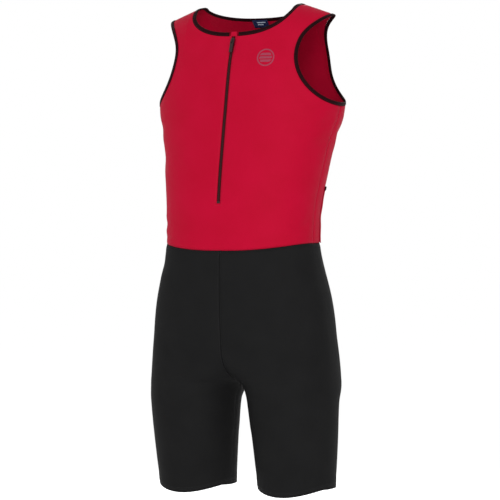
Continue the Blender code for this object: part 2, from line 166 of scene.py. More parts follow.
def new_material(name, roughness, sheen=0.0, sheen_tint=WHITE, metallic=0.0, specular=0.5):
    made = bpy.data.materials.new(name)
    made.use_nodes = True
    shader = made.node_tree.nodes["Principled BSDF"]
    shader.inputs["Roughness"].default_value = roughness
    shader.inputs["Metallic"].default_value = metallic
    shader.inputs["Specular IOR Level"].default_value = specular
    shader.inputs["Sheen Weight"].default_value = sheen
    shader.inputs["Sheen Roughness"].default_value = 0.4
    shader.inputs["Sheen Tint"].default_value = sheen_tint
    return made, made.node_tree, shader


def add_node(tree, kind, **values):
    node = tree.nodes.new(kind)
    for key, value in values.items():
        if key in node.inputs:
            node.inputs[key].default_value = value
        else:
            setattr(node, key, value)
    return node


def varied_colour(tree, shader, source, light, dark, scale):
    """Mixes two shades of one colour by soft noise."""
    noise = add_node(tree, "ShaderNodeTexNoise", Scale=scale, Detail=3.0)
    tree.links.new(source, noise.inputs["Vector"])
    ramp = tree.nodes.new("ShaderNodeValToRGB")
    ramp.color_ramp.elements[0].position = 0.3
    ramp.color_ramp.elements[0].color = dark
    ramp.color_ramp.elements[1].position = 0.7
    ramp.color_ramp.elements[1].color = light
    tree.links.new(noise.outputs["Fac"], ramp.inputs["Fac"])
    tree.links.new(ramp.outputs["Color"], shader.inputs["Base Color"])


def bumped(tree, shader, height, strength, relief):
    bump = add_node(tree, "ShaderNodeBump", Strength=strength, Distance=relief)
    tree.links.new(height, bump.inputs["Height"])
    tree.links.new(bump.outputs["Normal"], shader.inputs["Normal"])


def knit(name, light, dark, roughness, sheen, tint, pitch, depth, specular):
    """Columns of loops down the cloth and finer rows across it."""
    made, tree, shader = new_material(name, roughness, sheen, tint, specular=specular)
    place = tree.nodes.new("ShaderNodeTexCoord")
    uv = place.outputs["UV"]
    varied_colour(tree, shader, uv, light, dark, CLOTH_MOTTLE)
    # A wave repeats every 2 * pi / (20 * scale), so this scale gives the pitch.
    scale = 2 * math.pi / (20 * pitch * MM)
    wales = add_node(tree, "ShaderNodeTexWave", bands_direction="X", Scale=scale, Distortion=0.6)
    courses = add_node(tree, "ShaderNodeTexWave", bands_direction="Y", Scale=scale * COURSE_RATIO)
    for wave in (wales, courses):
        tree.links.new(uv, wave.inputs["Vector"])
    height = add_node(tree, "ShaderNodeMath", operation="MULTIPLY")
    tree.links.new(wales.outputs["Fac"], height.inputs[0])
    tree.links.new(courses.outputs["Fac"], height.inputs[1])
    bumped(tree, shader, height.outputs["Value"], depth, LOOP_RELIEF)
    return made


def moulded(name, light, dark, roughness, metallic, specular):
    """A painted or moulded surface with faint mottling and orange peel."""
    made, tree, shader = new_material(name, roughness, metallic=metallic, specular=specular)
    place = tree.nodes.new("ShaderNodeTexCoord")
    varied_colour(tree, shader, place.outputs["Object"], light, dark, HARD_MOTTLE)
    peel = add_node(tree, "ShaderNodeTexNoise", Scale=PEEL, Detail=2.0)
    tree.links.new(place.outputs["Object"], peel.inputs["Vector"])
    bumped(tree, shader, peel.outputs["Fac"], PEEL_STRENGTH, PEEL_RELIEF)
    return made


# Name, light and dark shade, roughness, sheen and its tint, pitch in millimetres, depth
# of the loops and specular level.
KNITS = (
    ("red_knit", (0.335, 0.0012, 0.0195, 1), (0.315, 0.0010, 0.0165, 1), 0.6,
     0.01, (1, 0.1, 0.5, 1), 0.8, 0.5, 0.04),
    ("black_knit", (0.0090, 0.0090, 0.0092, 1), (0.0078, 0.0078, 0.0080, 1), 0.6,
     0.001, WHITE, 0.8, 0.5, 0.02),
    ("binding", (0.012, 0.0009, 0.002, 1), (0.008, 0.0006, 0.0014, 1), 0.6,
     0.005, (1, 0.3, 0.4, 1), 0.9, 0.8, 0.04),
    ("zip_tape", (0.06, 0.001, 0.003, 1), (0.045, 0.001, 0.002, 1), 0.65,
     0.005, (1, 0.5, 0.5, 1), 0.8, 1.0, 0.05),
    ("red_thread", (0.40, 0.005, 0.03, 1), (0.34, 0.003, 0.022, 1), 0.45,
     0.02, (1, 0.3, 0.5, 1), 0.3, 0.5, 0.2),
    ("dark_thread", (0.03, 0.004, 0.007, 1), (0.02, 0.003, 0.005, 1), 0.45,
     0.02, (1, 0.6, 0.6, 1), 0.3, 0.5, 0.2),
    ("black_thread", (0.014, 0.014, 0.015, 1), (0.01, 0.01, 0.011, 1), 0.45,
     0.02, WHITE, 0.3, 0.5, 0.2),
    ("label_navy", (0.004, 0.012, 0.055, 1), (0.003, 0.008, 0.04, 1), 0.45,
     0.02, (0.7, 0.8, 1, 1), 0.4, 0.5, 0.2),
    ("label_pale", (0.35, 0.42, 0.5, 1), (0.3, 0.36, 0.43, 1), 0.5,
     0.02, WHITE, 0.4, 0.5, 0.2),
)
# Name, light and dark shade, roughness, metallic and specular level.
HARD = (
    ("coil_nylon", (0.022, 0.001, 0.002, 1), (0.014, 0.0008, 0.0015, 1), 0.4, 0.0, 0.3),
    ("slider_paint", (0.016, 0.001, 0.002, 1), (0.01, 0.0008, 0.0015, 1), 0.35, 0.3, 0.5),
    ("reflective_print", (0.25, 0.034, 0.062, 1), (0.22, 0.028, 0.052, 1), 0.5, 0.0, 0.1),
)
RED, BLACK, BINDING, TAPE, RED_THREAD, DARK_THREAD, BLACK_THREAD, NAVY, PALE = (
    knit(*row) for row in KNITS
)
NYLON, PAINT, PRINT = (moulded(*row) for row in HARD)
print("materials", len(bpy.data.materials))

# %% [markdown]
# ## The worn form
# A fitted suit takes its shape from the body, so the cloth needs one. Each level of a
# short table gives a rounded outline: half its width, how far it stands before and
# behind the middle plane, where its side lies and how square it is. A smooth curve runs
# through the levels. Depth down the suit is called drop.

# %% The levels of the form
MIDDLE_Y = 8 * MM
RIDGE_BACK = 5 * MM
NECK_X = 108 * MM
NECK_RIDGE_Z = 11 * MM
SHOULDER_SLOPE = 0.35
RIDGE_FADE = 190 * MM
FRONT_ROUND = 62 * MM
BACK_ROUND = 92 * MM
CROTCH = 689 * MM
PINCH_START = 600 * MM
HEM = 884 * MM
HEM_DIP = 16 * MM
FORK = 0.155
FORK_SPREAD = 0.27
FORK_ROUND = 38 * MM
PINCH_EASE = 1.5

BODY_COLUMNS = ("drop", "half_width", "front", "back", "side", "square")
BODY = (
    (0, 188, 66, 58, 0, 2.3),
    (60, 188, 75, 88, 0, 2.3),
    (110, 187, 92, 106, -1, 2.3),
    (190, 183, 109, 111, -3, 2.2),
    (250, 166, 120, 101, -14, 2.3),
    (310, 157, 130, 85, -26, 2.3),
    (360, 150, 136, 74, -35, 2.3),
    (406, 148, 135, 69, -40, 2.3),
    (450, 150, 133, 74, -41, 2.3),
    (541, 171, 133, 92, -40, 2.3),
    (617, 181, 128, 98, -38, 2.2),
    (699, 186, 120, 76, -31, 2.1),
    (729, 187, 118, 56, -32, 2.0),
    (800, 183, 108, 54, -27, 2.0),
    (900, 175, 91, 53, -19, 2.0),
)
DROPS = [row[0] for row in BODY]
print("levels", len(BODY), "from", DROPS[0], "to", DROPS[-1], "mm")


def row_slope(place, index):
    low, high = max(index - 1, 0), min(index + 1, len(BODY) - 1)
    return (BODY[high][place] - BODY[low][place]) / (DROPS[high] - DROPS[low])


def level(column, drop):
    """A column of the table at any drop, along a smooth curve."""
    place = BODY_COLUMNS.index(column)
    at = drop / MM
    index = min(max(bisect.bisect_left(DROPS, at) - 1, 0), len(BODY) - 2)
    span = DROPS[index + 1] - DROPS[index]
    u = min(max((at - DROPS[index]) / span, 0), 1)
    value = (
        (2 * u**3 - 3 * u**2 + 1) * BODY[index][place]
        + (u**3 - 2 * u**2 + u) * span * row_slope(place, index)
        + (3 * u**2 - 2 * u**3) * BODY[index + 1][place]
        + (u**3 - u**2) * span * row_slope(place, index + 1)
    )
    return value if column == "square" else value * MM


# %% [markdown]
# Below the hips one outline becomes two. A ratio called pinch slides the centre of each
# half outline away from the middle: at 0 the halves make one torso, at 1 they only
# touch, and beyond it they are two legs.

# %% A point on the form
def quarter_round(share):
    """Rises from 0 to 1 along a quarter of a circle."""
    return math.sqrt(1 - (1 - min(max(share, 0), 1)) ** 2)


def signed_power(value, power):
    return math.copysign(abs(value) ** power, value)


def pinch(drop):
    if drop < PINCH_START:
        return 0.0
    if drop < CROTCH:
        return ((drop - PINCH_START) / (CROTCH - PINCH_START)) ** PINCH_EASE
    below = drop - CROTCH
    spread = FORK + FORK_SPREAD * below / (HEM - CROTCH)
    return 1 + quarter_round(below / FORK_ROUND) * spread


def half_turn(drop):
    return math.acos(-(min(pinch(drop), 1) ** (level("square", drop) / 2)))


def body_point(turn, drop):
    """A point on the left half: turn is -1 at the front, 0 at the side, 1 at the back."""
    angle = turn * half_turn(drop)
    power = 2 / level("square", drop)
    share = pinch(drop)
    half = level("half_width", drop) / (1 + share)
    x = half * (share + signed_power(math.cos(angle), power))
    side = level("side", drop)
    if turn < 0:
        reach = side + level("front", drop) * quarter_round(drop / FRONT_ROUND)
    else:
        reach = level("back", drop) * quarter_round(drop / BACK_ROUND) - side
    y = MIDDLE_Y + side + reach * signed_power(math.sin(angle), power)
    y += RIDGE_BACK * (1 - quarter_round(drop / FRONT_ROUND))
    fade = 1 - min(drop / RIDGE_FADE, 1) ** 2
    ridge = NECK_RIDGE_Z - SHOULDER_SLOPE * max(abs(x) - NECK_X, 0)
    return Vector((x, y, ridge * fade - drop))


def turn_at(x, drop):
    """The turn at which the torso's outline has a given distance from the middle."""
    share = min(abs(x) / level("half_width", drop), 1)
    return math.acos(share ** (level("square", drop) / 2)) / half_turn(drop)


print("pinch at the hem", round(pinch(HEM), 2))


# %% [markdown]
# ## The cut of the panels
# Front and back are patches with four sides: the waist seam below, the side seam and
# armhole at the side, the shoulder seam and neckline above, and the middle. Rows and
# columns are counted as on the plain model, but may be fractions, so the same rule
# gives any fineness.

# %% Seam lines of the panels
STRAP_X = 164 * MM
ARMHOLE_X = {-1: 122 * MM, 1: 118 * MM}
ARMHOLE_SWEEP = {-1: 2.0, 1: 2.9}
ARMHOLE_NARROW = 84 * MM
NECK_DEPTH = {-1: 60 * MM, 1: 24 * MM}
UNDERARM = 178 * MM
LOWER_LINE = 336 * MM
WAIST_SIDE = 433 * MM
WAIST_DIP = {-1: 14 * MM, 1: -4 * MM}
SLIT_HALF = 3.5 * MM
HALF_COLUMNS, NECK_COLUMNS = 12, 6
ARM_ROWS, LINE_ROW, LAST_ROW = 12, 16, 20
ROW_CROWDING = 1.1
NECK_FLARE, FLARE_DROP, NECK_SWEEP = 7 * MM, 10 * MM, 0.25
FRONT, BACK = -1, 1


def waist(turn):
    dip = WAIST_DIP[FRONT if turn < 0 else BACK]
    return WAIST_SIDE + dip * math.sin(turn * math.pi / 2) ** 2


def row_share(row):
    under, line = UNDERARM / WAIST_SIDE, LOWER_LINE / WAIST_SIDE
    if row <= ARM_ROWS:
        return under * (0.5 - 0.5 * math.cos(math.pi * row / ARM_ROWS)) ** ROW_CROWDING
    if row <= LINE_ROW:
        return under + (line - under) * (row - ARM_ROWS) / (LINE_ROW - ARM_ROWS)
    return line + (1 - line) * (row - LINE_ROW) / (LAST_ROW - LINE_ROW)


def edge_turn(face, drop):
    if drop >= UNDERARM:
        return 0.0
    narrow = turn_at(ARMHOLE_X[face], ARMHOLE_NARROW)
    sweep = ARMHOLE_SWEEP[face]
    if drop < ARMHOLE_NARROW:
        above = (1 - drop / ARMHOLE_NARROW) ** sweep
        return narrow + (turn_at(STRAP_X, 0) - narrow) * above
    below = (drop - ARMHOLE_NARROW) / (UNDERARM - ARMHOLE_NARROW)
    return narrow * math.sqrt(1 - below**sweep)


def panel_place(face, row, column):
    """Turn and drop of a point of the panel; the rows and columns follow its edges."""
    share = row_share(row)
    top_weight = (1 - share) ** 2
    side_drop = share * WAIST_SIDE
    edge = edge_turn(face, side_drop)
    flare = NECK_FLARE * quarter_round(side_drop / FLARE_DROP)
    neck_turn = turn_at(NECK_X + flare - NECK_SWEEP * side_drop, side_drop)
    neck_share = 0.5 + ((1 - neck_turn) / (1 - edge) - 0.5) * top_weight
    within = min(column / NECK_COLUMNS, 1)
    curved = math.sin(within * math.pi / 2)
    across = neck_share * (within + (curved - within) * top_weight)
    if column > NECK_COLUMNS:
        beyond = (column - NECK_COLUMNS) / (HALF_COLUMNS - NECK_COLUMNS)
        across = neck_share + (1 - neck_share) * beyond
    neck = NECK_DEPTH[face] * math.cos(within * math.pi / 2)
    drop = neck + (waist(face * (1 + (edge - 1) * across)) - neck) * share
    middle = turn_at(SLIT_HALF, drop) if face == FRONT else 1.0
    return face * (middle + (edge - middle) * across), drop


def mirrored(point):
    return Vector((-point.x, point.y, point.z))


print("front neck at", round(panel_place(FRONT, 0, 0)[1], 3), "m below the straps")

# %% [markdown]
# ## Creases
# Stretch cloth on a full form hardly folds. It still pulls into soft troughs where it
# turns: from the underarm, above the waist seam, out from the crotch and under the
# seat. Each is placed between two points given as turn and drop, with its own width
# and depth, so no two are alike. Seams sink a little too.

# %% Creases listed one by one
CREASE_COLUMNS = ("side", "turn_1", "drop_1", "turn_2", "drop_2", "width", "depth")
CREASES = (
    (1, -0.10, 205, -0.42, 232, 11, 1.6),
    (1, -0.06, 228, -0.34, 275, 14, 1.3),
    (1, -0.22, 176, -0.50, 168, 10, 1.1),
    (-1, -0.12, 200, -0.36, 222, 12, 1.5),
    (-1, -0.05, 236, -0.40, 290, 13, 1.2),
    (1, -0.08, 392, -0.36, 404, 9, 1.4),
    (1, -0.12, 417, -0.48, 425, 8, 1.0),
    (-1, -0.06, 386, -0.30, 399, 9, 1.5),
    (-1, -0.10, 412, -0.44, 423, 8, 1.1),
    (1, 0.10, 210, 0.40, 240, 12, 1.6),
    (-1, 0.08, 204, 0.44, 229, 11, 1.5),
    (1, 0.14, 378, 0.80, 392, 12, 1.8),
    (-1, 0.20, 384, 0.92, 397, 11, 1.7),
    (1, 0.30, 356, 0.70, 364, 12, 1.2),
    (-1, 0.26, 361, 0.62, 367, 12, 1.1),
    (1, -0.78, 662, -0.50, 622, 12, 1.5),
    (1, -0.76, 684, -0.46, 664, 11, 1.4),
    (1, -0.70, 712, -0.40, 714, 10, 1.0),
    (-1, -0.80, 666, -0.54, 628, 11, 1.5),
    (-1, -0.78, 688, -0.50, 672, 12, 1.3),
    (-1, -0.70, 718, -0.38, 722, 10, 1.0),
    (1, 0.80, 686, 0.48, 668, 12, 1.6),
    (1, 0.74, 708, 0.46, 702, 11, 1.3),
    (-1, 0.82, 690, 0.44, 672, 12, 1.5),
    (-1, 0.72, 712, 0.44, 706, 11, 1.2),
    (1, -0.20, 470, -0.52, 486, 13, 0.9),
    (-1, -0.16, 466, -0.46, 480, 13, 0.9),
)


CREASE_GAIN = 1.3
CREASE_BOW = 6 * MM
RIDGE_HEIGHT, RIDGE_PLACE = 0.35, 1.7        # shares of a crease's depth and width
FADE_SPAN, FADE_START, FADE_POWER = 0.9, 0.05, 0.7


def crease_ends(end):
    """The first or the second end of every crease, as points in space."""
    points = []
    for row in CREASES:
        named = dict(zip(CREASE_COLUMNS, row))
        point = body_point(named[f"turn_{end}"], named[f"drop_{end}"] * MM)
        points.append((point.x * named["side"], point.y, point.z))
    return np.array(points)


STARTS = crease_ends(1)
SPANS = crease_ends(2) - STARTS
WIDTHS = np.array([row[CREASE_COLUMNS.index("width")] for row in CREASES]) * MM
DEPTHS = np.array([row[CREASE_COLUMNS.index("depth")] for row in CREASES]) * MM


def crease_depth(points):
    """How far each point moves out; it is negative in a trough.

    A crease bows a little, has a low ridge on each side and fades towards both ends.
    """
    offset = points[:, None, :] - STARTS[None]
    along = np.einsum("pck,ck->pc", offset, SPANS) / (SPANS**2).sum(1)
    kept = np.clip(along, 0, 1)
    gap = offset - kept[..., None] * SPANS[None]
    gap[..., 2] += CREASE_BOW * np.sin(kept * math.pi)
    distance = np.sqrt((gap**2).sum(2))
    fade = np.sin(np.clip(along * FADE_SPAN + FADE_START, 0, 1) * math.pi) ** FADE_POWER
    ridge = RIDGE_HEIGHT * np.exp(-(((distance - RIDGE_PLACE * WIDTHS) / WIDTHS) ** 2))
    trough = np.exp(-((distance / WIDTHS) ** 2))
    return CREASE_GAIN * (DEPTHS * fade * (ridge - trough)).sum(1)


print("creases", len(CREASES))

# %% [markdown]
# ## From a grid of points to cloth
# A panel is a grid of points with a UV map in metres, wrapped round the form so that the
# columns of the knit run straight down. Each point is moved along its own normal, by the
# creases and by whatever else the piece asks for, and Solidify then gives the cloth a
# wall on the inside. Small helpers say how a piece belongs to the frame.

# %% Cloth helper
WALL = 1.2 * MM
WRAP_RADIUS = 0.15            # metres; makes an angle a length on the UV map
MERGE = 2e-6


def rounded(values, digits=3):
    return [round(value, digits) for value in values]


def only(piece):
    """Selects one object and nothing else."""
    bpy.ops.object.select_all(action="DESELECT")
    piece.select_set(True)
    bpy.context.view_layer.objects.active = piece


def belongs(piece, finish, nodes=(), body=SUIT_BODY):
    """Gives a piece its finish, its body and the plain nodes it stands for."""
    piece.data.materials.clear()
    piece.data.materials.append(finish)
    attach(piece, body)
    if nodes:
        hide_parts(*nodes)


def as_grid(rows):
    """Rows of points as one array, with the three coordinates last."""
    return np.array([[tuple(point) for point in row] for row in rows])


def lengths(grid):
    """Distances across each row and down each column of a grid of points."""
    across = np.linalg.norm(np.diff(grid, axis=1), axis=2)
    down = np.linalg.norm(np.diff(grid, axis=0), axis=2)
    u = np.concatenate([np.zeros((len(grid), 1)), across.cumsum(1)], 1)
    v = np.concatenate([np.zeros((1, len(grid[0]))), down.cumsum(0)], 0)
    return u - u[:, -1:] / 2, v


def wrapped(grid, centre):
    """Angle round an upright line, and height: a map that runs straight down the form."""
    angle = np.unwrap(np.arctan2(grid[..., 1] - centre[1], grid[..., 0] - centre[0]), axis=1)
    return angle * WRAP_RADIUS, -grid[..., 2]


def new_object(name, mesh):
    piece = bpy.data.objects.new(name, mesh)
    bpy.context.scene.collection.objects.link(piece)
    return piece


def cloth(name, rows, wall=WALL, skip=None, moves=None, outward=None, centre=None):
    """A finished cloth object, the area of its outer face and its largest extents."""
    grid = as_grid(rows)
    u, v = lengths(grid)
    size = (float((u[:, -1] - u[:, 0]).max()), float(v[-1].max()))
    if centre:
        u, v = wrapped(grid, centre)
    shape = bmesh.new()
    uv_layer = shape.loops.layers.uv.new("UVMap")
    number = shape.verts.layers.int.new("number")
    points = [[shape.verts.new(point) for point in row] for row in grid]
    columns = len(points[0])
    for i, row in enumerate(points):
        for j, vert in enumerate(row):
            vert[number] = i * columns + j
    for i in range(len(points) - 1):
        for j in range(columns - 1):
            if skip and skip(i, j):
                continue
            corners = ((i, j), (i + 1, j), (i + 1, j + 1), (i, j + 1))
            face = shape.faces.new([points[a][b] for a, b in corners])
            for loop, (a, b) in zip(face.loops, corners):
                loop[uv_layer].uv = (u[a, b], -v[a, b])
    bmesh.ops.remove_doubles(shape, verts=shape.verts, dist=MERGE)
    shape.normal_update()
    shape.faces.ensure_lookup_table()
    if outward is not None and shape.faces[0].normal.dot(outward) < 0:
        bmesh.ops.reverse_faces(shape, faces=shape.faces)
        shape.normal_update()
    if moves is not None:
        flat = moves.ravel()
        for vert in shape.verts:
            vert.co += vert.normal * float(flat[vert[number]])
    shape.normal_update()
    area = sum(face.calc_area() for face in shape.faces)
    shape.verts.layers.int.remove(number)
    mesh = bpy.data.meshes.new(name)
    shape.to_mesh(mesh)
    shape.free()
    mesh.shade_smooth()
    piece = new_object(name, mesh)
    only(piece)
    thick = piece.modifiers.new("wall", "SOLIDIFY")
    thick.thickness = wall
    thick.offset = -1
    bpy.ops.object.modifier_apply(modifier=thick.name)
    return piece, area, size


def face_outward(mesh):
    """Turns every face of a closed mesh outward."""
    shape = bmesh.new()
    shape.from_mesh(mesh)
    bmesh.ops.recalc_face_normals(shape, faces=shape.faces)
    shape.to_mesh(mesh)
    shape.free()


def surface_of(piece):
    """The piece's surface, ready to be met by a straight line."""
    shape = bmesh.new()
    shape.from_mesh(piece.data)
    tree = BVHTree.FromBMesh(shape)
    shape.free()
    return tree


# %% [markdown]
# ## Front and back
# The front is one panel with a slit for the zip, the back is whole. The grid follows
# four curved edges, so its inner points are evened out first, in turn and drop: each
# one moves to the middle of its four neighbours, many times over. The cloth sinks
# beside every seam, where the thread pulls it in.

# %% Front and back panels
FINE = 6                      # steps in one row or column of the plain model
EVENING_ROUNDS = 30
SEAM_SINK = 0.8 * MM
WAIST_SINK = 1.6 * MM
SEAM_WIDTH = 3.6 * MM
TORSO_CENTRE = (0.0, 0.05)


def fine_steps(first, last):
    count = int(round((last - first) * FINE))
    return [first + i / FINE for i in range(count + 1)]


def evened(places):
    """Evens out the inner points of a grid and leaves its edges alone."""
    for _ in range(EVENING_ROUNDS):
        around = places[:-2, 1:-1] + places[2:, 1:-1] + places[1:-1, :-2] + places[1:-1, 2:]
        places[1:-1, 1:-1] = around / 4
    return places


def panel_rows(face, rows, columns=HALF_COLUMNS):
    steps = fine_steps(0, columns)
    places = np.array([[panel_place(face, row, column) for column in steps] for row in rows])
    grid = []
    for line in evened(places):
        left = [body_point(turn, drop) for turn, drop in line]
        right = [mirrored(point) for point in left]
        grid.append(right[::-1] + left if face == FRONT else left[::-1] + right[1:])
    return grid


def seam_sinks(grid, waist_above):
    """How far each point of a grid sinks beside its side edges and the waist seam."""
    u, v = lengths(grid)
    to_side = np.minimum(u - u[:, :1], u[:, -1:] - u)
    to_waist = v if waist_above else v[-1:] - v
    sides = SEAM_SINK * np.exp(-((to_side / SEAM_WIDTH) ** 2))
    return -np.maximum(sides, WAIST_SINK * np.exp(-((to_waist / SEAM_WIDTH) ** 2)))


def creases_on(grid):
    return crease_depth(grid.reshape(-1, 3)).reshape(grid.shape[:2])


front_rows = panel_rows(FRONT, fine_steps(0, LAST_ROW))
back_rows = panel_rows(BACK, fine_steps(0, LAST_ROW))
torso_last, line_row, arm_row = LAST_ROW * FINE, LINE_ROW * FINE, ARM_ROWS * FINE
middle = HALF_COLUMNS * FINE
panels = {}
for name, rows, skip in (
    ("front", front_rows, lambda i, j: j == middle and i < line_row),
    ("back", back_rows, None),
):
    grid = as_grid(rows)
    moves = creases_on(grid) + seam_sinks(grid, False)
    piece, area, size = cloth(f"{name}_panel", rows, skip=skip, moves=moves, centre=TORSO_CENTRE)
    belongs(piece, RED, [name])
    panels[name] = piece

# %% [markdown]
# ## Shorts
# Each side of the shorts is one piece that wraps its leg, with a seam down the inside
# of the leg and one down the middle of the body. The hem is turned up once, which lifts
# the cloth a little. A seat pad lies inside, and its edge shows as a faint curved step
# near the crotch.

# %% Shorts
HIP_ROWS, LEG_ROWS = 9, 7
WAIST_GAP = 0.1 * MM
HEM_TURN = 20 * MM
HEM_STEP = 0.5 * MM
HEM_SOFT = 0.8 * MM
PAD_CENTRE_Z = -0.715
PAD_RADIUS = 62 * MM
PAD_STEP = 0.9 * MM
PAD_SOFT = 2.5 * MM
PAD_TALL = 0.8                # width of the pad's edge over its height
LEG_CENTRE = (0.093, 0.03)


def leg_line(top, bottom, share):
    """One row of the left side, between two depths that may change round the leg."""
    points = []
    for column in fine_steps(-HALF_COLUMNS, HALF_COLUMNS):
        turn = column / HALF_COLUMNS
        points.append(body_point(turn, top(turn) + (bottom(turn) - top(turn)) * share))
    return points


def waist_drop(turn):
    return waist(turn) + WAIST_GAP


def crotch_drop(turn):
    return CROTCH


def hem_drop(turn):
    return HEM + HEM_DIP * math.sin(turn * math.pi) ** 2


leg_rows = []
for row in fine_steps(0, HIP_ROWS):
    leg_rows.append(leg_line(waist_drop, crotch_drop, math.sin(math.pi / 2 * row / HIP_ROWS)))
for row in fine_steps(0, LEG_ROWS)[1:]:
    leg_rows.append(leg_line(crotch_drop, hem_drop, 1 - math.cos(math.pi / 2 * row / LEG_ROWS)))
leg_grid = as_grid(leg_rows)
below_waist = lengths(leg_grid)[1]
above_hem = below_waist[-1:] - below_waist
hem_moves = HEM_STEP / (1 + np.exp((above_hem - HEM_TURN) / HEM_SOFT))
pad_reach = np.hypot(leg_grid[..., 0], (leg_grid[..., 2] - PAD_CENTRE_Z) * PAD_TALL)
pad_moves = PAD_STEP / (1 + np.exp((pad_reach - PAD_RADIUS) / PAD_SOFT))
shared_moves = hem_moves + pad_moves + seam_sinks(leg_grid, True)
shorts = {}
for side, sign in (("left", 1), ("right", -1)):
    grid = leg_grid * np.array([sign, 1, 1])
    moves = shared_moves + creases_on(grid)
    centre = (sign * LEG_CENTRE[0], LEG_CENTRE[1])
    piece, area, size = cloth(
        f"shorts_{side}_leg", grid, moves=moves, outward=Vector((0, -1, 0)), centre=centre
    )
    belongs(piece, BLACK, [f"shorts_{side}"])
    shorts[side] = piece

# %% [markdown]
# ## Bindings
# A binding is a strip of elastic cloth folded over the raw edge, so its section is a
# flat rounded loop. The loop is swept along the edge of the panels, beside their last
# points. A path carries the point and the outward direction at each step.

# %% Bindings
ARM_BINDING = 7 * MM
NECK_BINDING = 8 * MM
ARM_THICK, NECK_THICK = 2.6 * MM, 2.4 * MM
BAND_LIFT = -0.5 * MM         # the cloth lies in the middle of the fold
BAND_PITCH = 3 * MM
GARAGE_HALF = 6.5 * MM
SECTION_POINTS = 14
WIDE_POWER, THICK_POWER = 0.6, 0.75          # below 1 makes the loop squarer


def paired(rows):
    """A grid of (point, outward direction) from a grid of points."""
    mesh = bpy.data.meshes.new("directions")
    columns = len(rows[0])
    faces = [
        (i * columns + j, (i + 1) * columns + j, (i + 1) * columns + j + 1, i * columns + j + 1)
        for i in range(len(rows) - 1)
        for j in range(columns - 1)
    ]
    mesh.from_pydata([tuple(point) for row in rows for point in row], [], faces)
    found = [vertex.normal.copy() for vertex in mesh.vertices]
    bpy.data.meshes.remove(mesh)
    return [list(zip(row, found[i * columns:(i + 1) * columns])) for i, row in enumerate(rows)]


def down_column(pairs, column, first, last):
    return [row[column] for row in pairs[first:last + 1]]


front_pairs, back_pairs = paired(front_rows), paired(back_rows)


def joined(first, second):
    """Joins two runs of (point, normal) whose ends meet, averaging where they meet."""
    point = (first[-1][0] + second[0][0]) / 2
    normal = (first[-1][1] + second[0][1]).normalized()
    return first[:-1] + [(point, normal)] + second[1:]


def armhole_path():
    """Up the front edge of the armhole, over the strap and down the back edge."""
    up = down_column(front_pairs, -1, 0, arm_row)[::-1]
    path = joined(up, down_column(back_pairs, 0, 0, arm_row))
    closing = (path[0][0] + path[-1][0]) / 2, (path[0][1] + path[-1][1]).normalized()
    return [closing] + path[1:-1]


def neck_path():
    """Round the neck from the left side of the zip to its right side."""
    half = NECK_COLUMNS * FINE
    left = front_pairs[0][middle + 1:middle + half + 2]
    left = [pair for pair in left if pair[0].x > GARAGE_HALF + MM]
    side = joined(left, back_pairs[0][middle - half:middle + 1])
    other = [(mirrored(point), mirrored(normal)) for point, normal in reversed(side[:-1])]
    return side + other


def even(path, closed, pitch):
    """The same path with evenly spaced points, its outward directions and its length."""
    points = np.array([tuple(pair[0]) for pair in path])
    normals = np.array([tuple(pair[1]) for pair in path])
    if closed:
        points = np.vstack([points, points[:1]])
        normals = np.vstack([normals, normals[:1]])
    steps = np.linalg.norm(np.diff(points, axis=0), axis=1)
    run = np.concatenate([[0], steps.cumsum()])
    count = max(int(round(run[-1] / pitch)), 2)
    at = np.linspace(0, run[-1], count + 1)
    if closed:
        at = at[:-1]
    place = np.stack([np.interp(at, run, points[:, k]) for k in range(3)], 1)
    outward = np.stack([np.interp(at, run, normals[:, k]) for k in range(3)], 1)
    outward /= np.linalg.norm(outward, axis=1)[:, None]
    return place, outward, float(run[-1])


def directions(place, closed):
    if closed:
        ahead = np.roll(place, -1, axis=0) - np.roll(place, 1, axis=0)
    else:
        ahead = np.gradient(place, axis=0)
    return ahead / np.linalg.norm(ahead, axis=1)[:, None]


def swept_band(name, node, path, closed, into, width, thick, lift, round_ends=False):
    """A flat rounded loop swept beside an edge; into is the side of it the band lies on."""
    place, outward, length = even(path, closed, BAND_PITCH)
    ahead = directions(place, closed or round_ends)
    away = np.cross(ahead, outward) * into
    away /= np.linalg.norm(away, axis=1)[:, None]
    rings = []
    for k in range(SECTION_POINTS):
        angle = 2 * math.pi * k / SECTION_POINTS
        a = signed_power(math.cos(angle), WIDE_POWER) * width / 2 + width / 2
        b = signed_power(math.sin(angle), THICK_POWER) * thick / 2 + lift
        rings.append(place + away * a + outward * b)
    shape = bmesh.new()
    uv_layer = shape.loops.layers.uv.new("UVMap")
    count = len(place)
    verts = [[shape.verts.new(rings[k][i]) for k in range(SECTION_POINTS)] for i in range(count)]
    spans = count if closed else count - 1
    girth = 2 * (width + thick)
    for i in range(spans):
        for k in range(SECTION_POINTS):
            after, beside = (i + 1) % count, (k + 1) % SECTION_POINTS
            face = shape.faces.new(
                [verts[i][k], verts[after][k], verts[after][beside], verts[i][beside]]
            )
            for loop, (a, b) in zip(face.loops, ((0, 0), (1, 0), (1, 1), (0, 1))):
                loop[uv_layer].uv = (girth * (k + b) / SECTION_POINTS, length * (i + a) / spans)
    if not closed:
        shape.faces.new(verts[0])
        shape.faces.new(verts[-1][::-1])
    bmesh.ops.recalc_face_normals(shape, faces=shape.faces)
    mesh = bpy.data.meshes.new(name)
    shape.to_mesh(mesh)
    shape.free()
    mesh.shade_smooth()
    piece = new_object(name, mesh)
    belongs(piece, BINDING, [node])
    print(name, "is", round(length, 3), "m long")
    return piece


def mirror_path(path):
    return [(mirrored(point), mirrored(normal)) for point, normal in path]


